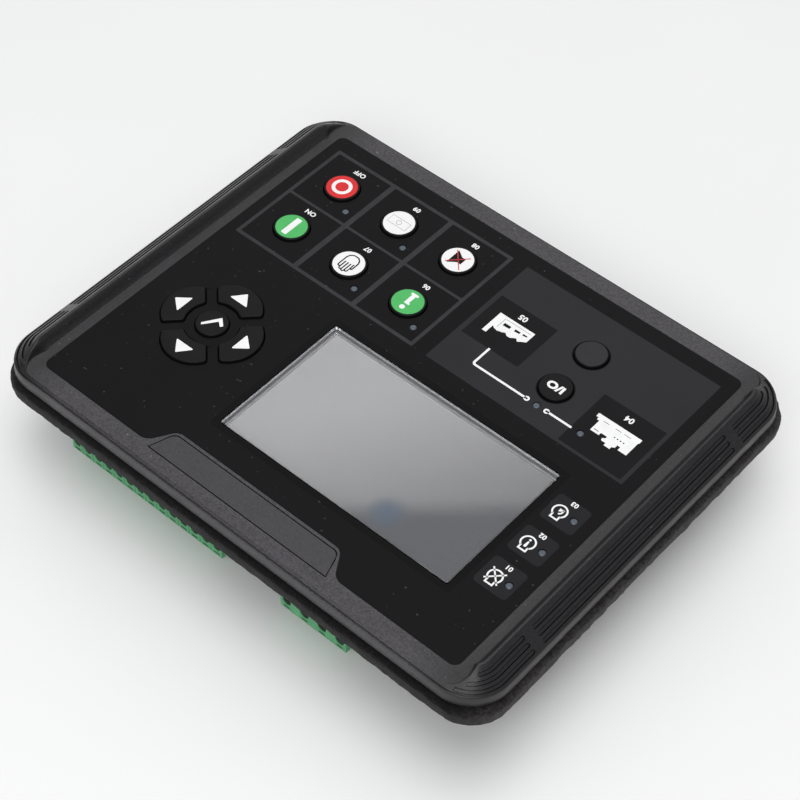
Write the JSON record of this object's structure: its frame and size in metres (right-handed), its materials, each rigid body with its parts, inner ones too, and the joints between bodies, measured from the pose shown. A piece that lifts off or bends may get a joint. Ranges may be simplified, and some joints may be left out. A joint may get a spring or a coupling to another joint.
{
  "type": "genset controller",
  "caption": "Panel-mounted generator controller with a raised-wing front, keypad, display window, foam gasket, stepped rear case and pluggable green terminals.",
  "frame": {"origin": "centre of the part's base: under the middle of the front, on the rear case's back face", "axes": "+Z out of the front face, +Y up the panel, +X to the right for someone facing the panel"},
  "size_m": [0.2122, 0.1674, 0.0438],
  "materials": {
    "bezel_plastic": "fine matte grain, charcoal",
    "badge_plastic": "fine matte grain, bare",
    "overlay_film": "satin printed overlay, near black",
    "lens_clear": "clear, polished edges",
    "key_black": "satin",
    "key_grey": "satin",
    "key_green": "satin, green top",
    "key_red": "satin, red top",
    "key_white": "satin, white top",
    "light_pipe": "tinted, clear",
    "silicone": "matte",
    "gasket_foam": "matte foam",
    "case_plastic": "matte black",
    "circuit_board": "green solder resist",
    "display_panel": "grey, unlit",
    "display_frame": "plain sheet metal",
    "screw_steel": "zinc plated",
    "terminal_green": "satin green",
    "component_black": "moulded black",
    "can_aluminium": "satin"
  },
  "bodies": {
    "controller": {"front_bezel": "bezel_plastic", "badge_plate": "badge_plastic", "front_film": "overlay_film", "display_lens": "lens_clear", "key_mat": "silicone", "key_board": "circuit_board", "main_board": "circuit_board", "display_frame": "display_frame", "display_panel": "display_panel", "panel_gasket": "gasket_foam", "rear_case": "case_plastic", "relay_1": "component_black", "relay_2": "component_black", "buzzer": "component_black", "board_link": "component_black", "capacitor": "can_aluminium", "light_pipe_alarm": "light_pipe", "light_pipe_warning": "light_pipe", "light_pipe_running": "light_pipe", "light_pipe_generator": "light_pipe", "light_pipe_breaker": "light_pipe", "light_pipe_info": "light_pipe", "light_pipe_manual": "light_pipe", "light_pipe_auto": "light_pipe", "light_pipe_stop": "light_pipe", "case_screw_1": "screw_steel", "board_screw_1": "screw_steel", "board_spacer_1": "screw_steel", "case_screw_2": "screw_steel", "board_screw_2": "screw_steel", "board_spacer_2": "screw_steel", "case_screw_3": "screw_steel", "board_screw_3": "screw_steel", "board_spacer_3": "screw_steel", "case_screw_4": "screw_steel", "board_screw_4": "screw_steel", "board_spacer_4": "screw_steel", "header_top_small": "terminal_green", "plug_top_small": "terminal_green", "header_top_large": "terminal_green", "plug_top_large": "terminal_green", "header_bottom_small": "terminal_green", "plug_bottom_small": "terminal_green", "header_bottom_middle": "terminal_green", "plug_bottom_middle": "terminal_green"},
    "info_key_body": {"info_key": "key_green"},
    "manual_key_body": {"manual_key": "key_white"},
    "start_key_body": {"start_key": "key_green"},
    "mute_key_body": {"mute_key": "key_white"},
    "auto_key_body": {"auto_key": "key_white"},
    "stop_key_body": {"stop_key": "key_red"},
    "breaker_key_body": {"breaker_key": "key_black"},
    "blank_key_body": {"blank_key": "key_grey"},
    "enter_key_body": {"enter_key": "key_black"},
    "up_key_body": {"up_key": "key_black"},
    "left_key_body": {"left_key": "key_black"},
    "down_key_body": {"down_key": "key_black"},
    "right_key_body": {"right_key": "key_black"}
  },
  "joints": [
    {"name": "info_key_press", "type": "slide", "parent": "controller", "child": "info_key_body", "axis": [0, 0, -1], "range_m": [0, 0.0006], "stiffness_N_per_m": 400},
    {"name": "manual_key_press", "type": "slide", "parent": "controller", "child": "manual_key_body", "axis": [0, 0, -1], "range_m": [0, 0.0006], "stiffness_N_per_m": 400},
    {"name": "start_key_press", "type": "slide", "parent": "controller", "child": "start_key_body", "axis": [0, 0, -1], "range_m": [0, 0.0006], "stiffness_N_per_m": 400},
    {"name": "mute_key_press", "type": "slide", "parent": "controller", "child": "mute_key_body", "axis": [0, 0, -1], "range_m": [0, 0.0006], "stiffness_N_per_m": 400},
    {"name": "auto_key_press", "type": "slide", "parent": "controller", "child": "auto_key_body", "axis": [0, 0, -1], "range_m": [0, 0.0006], "stiffness_N_per_m": 400},
    {"name": "stop_key_press", "type": "slide", "parent": "controller", "child": "stop_key_body", "axis": [0, 0, -1], "range_m": [0, 0.0006], "stiffness_N_per_m": 400},
    {"name": "breaker_key_press", "type": "slide", "parent": "controller", "child": "breaker_key_body", "axis": [0, 0, -1], "range_m": [0, 0.0006], "stiffness_N_per_m": 400},
    {"name": "blank_key_press", "type": "slide", "parent": "controller", "child": "blank_key_body", "axis": [0, 0, -1], "range_m": [0, 0.0006], "stiffness_N_per_m": 400},
    {"name": "enter_key_press", "type": "slide", "parent": "controller", "child": "enter_key_body", "axis": [0, 0, -1], "range_m": [0, 0.0006], "stiffness_N_per_m": 400},
    {"name": "up_key_press", "type": "slide", "parent": "controller", "child": "up_key_body", "axis": [0, 0, -1], "range_m": [0, 0.0006], "stiffness_N_per_m": 400},
    {"name": "left_key_press", "type": "slide", "parent": "controller", "child": "left_key_body", "axis": [0, 0, -1], "range_m": [0, 0.0006], "stiffness_N_per_m": 400},
    {"name": "down_key_press", "type": "slide", "parent": "controller", "child": "down_key_body", "axis": [0, 0, -1], "range_m": [0, 0.0006], "stiffness_N_per_m": 400},
    {"name": "right_key_press", "type": "slide", "parent": "controller", "child": "right_key_body", "axis": [0, 0, -1], "range_m": [0, 0.0006], "stiffness_N_per_m": 400}
  ]
}
